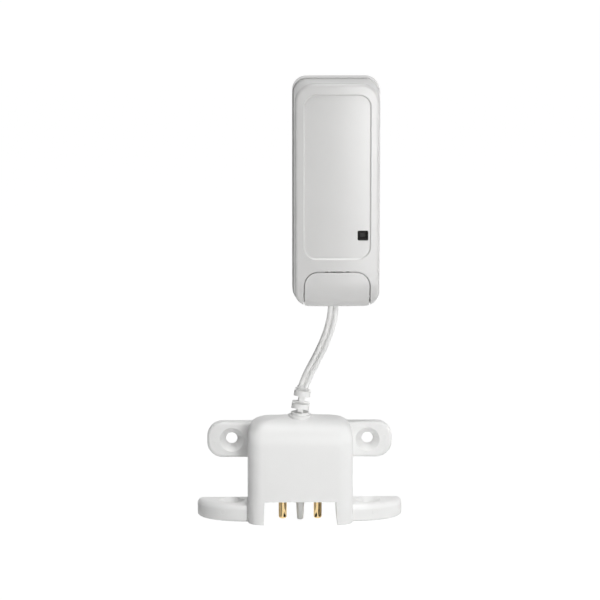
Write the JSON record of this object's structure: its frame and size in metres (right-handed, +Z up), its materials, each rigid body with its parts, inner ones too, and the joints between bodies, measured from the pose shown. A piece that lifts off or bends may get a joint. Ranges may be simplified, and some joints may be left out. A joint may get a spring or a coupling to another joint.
{
  "type": "water leak sensor",
  "caption": "Wall-mounted wireless water leak detector: slim white transmitter case joined by a short flat cord to a domed floor probe with gold contact pins, ears and feet.",
  "frame": {"origin": "midway between the probe's two ear screw holes, on the wall plane", "axes": "+Z up the wall, -Y out of the wall towards the viewer, +X to the viewer's right"},
  "size_m": [0.0754, 0.023, 0.1625],
  "materials": {
    "case_plastic": "satin white moulded ABS",
    "probe_plastic": "satin white moulded plastic, slightly glossier than the case",
    "smoked_window": "smoked clear plastic, polished",
    "cord_vinyl": "soft white vinyl",
    "relief_vinyl": "soft white vinyl, moulded",
    "carrier_plastic": "light grey moulded plastic",
    "gold_plate": "polished gold plating",
    "board_laminate": "green solder mask",
    "cell_sleeve": "dark shrink sleeve with a plain pale band",
    "contact_steel": "plain nickel plated spring sheet",
    "shield_tin": "dull tin plate",
    "chip_resin": "black moulded resin",
    "led_resin": "pale clear resin",
    "antenna_wire": "tinned copper wire",
    "switch_resin": "black moulded resin",
    "plunger_plastic": "plain white plastic",
    "button_plastic": "plain blue plastic",
    "terminal_plastic": "green moulded plastic",
    "screw_steel": "bright zinc plate",
    "wire_vinyl": "pale vinyl insulation",
    "potting_resin": "dark cured resin"
  },
  "bodies": {
    "base": {"rear_base": "case_plastic", "circuit_board": "board_laminate", "board_screws": "screw_steel", "battery": "cell_sleeve", "battery_leaf_contact": "contact_steel", "battery_plate_contact": "contact_steel", "radio_shield": "shield_tin", "board_chips": "chip_resin", "status_led": "led_resin", "antenna": "antenna_wire", "tamper_switch": "switch_resin", "enrol_switch": "switch_resin", "terminal_block": "terminal_plastic", "terminal_screws": "screw_steel", "cord_anchor": "carrier_plastic", "cord_leads": "wire_vinyl", "sensor_housing": "probe_plastic", "probe_carrier": "carrier_plastic", "probe_pin_left": "gold_plate", "probe_pin_right": "gold_plate", "sensor_board": "board_laminate", "sensor_chip": "chip_resin", "sensor_wires": "wire_vinyl", "potting_fill": "potting_resin", "strain_relief": "relief_vinyl", "sensor_cord": "cord_vinyl"},
    "front_cover": {"front_cover": "case_plastic", "led_window": "smoked_window"},
    "wiring_door": {"wiring_door": "case_plastic"},
    "tamper_plunger": {"tamper_plunger": "plunger_plastic"},
    "enrol_button": {"enrol_button": "button_plastic"}
  },
  "joints": [
    {"name": "cover_lift", "type": "slide", "parent": "base", "child": "front_cover", "axis": [0, -1, 0], "range_m": [0, 0.04]},
    {"name": "door_lift", "type": "slide", "parent": "front_cover", "child": "wiring_door", "axis": [0, -1, 0], "range_m": [0, 0.025]},
    {"name": "tamper_press", "type": "slide", "parent": "base", "child": "tamper_plunger", "axis": [0, 1, 0], "range_m": [0, 0.0006], "stiffness_N_per_m": 800, "springref_m": -0.0006},
    {"name": "enrol_press", "type": "slide", "parent": "base", "child": "enrol_button", "axis": [0, 1, 0], "range_m": [0, 0.0003], "stiffness_N_per_m": 2000, "springref_m": -0.0003}
  ]
}
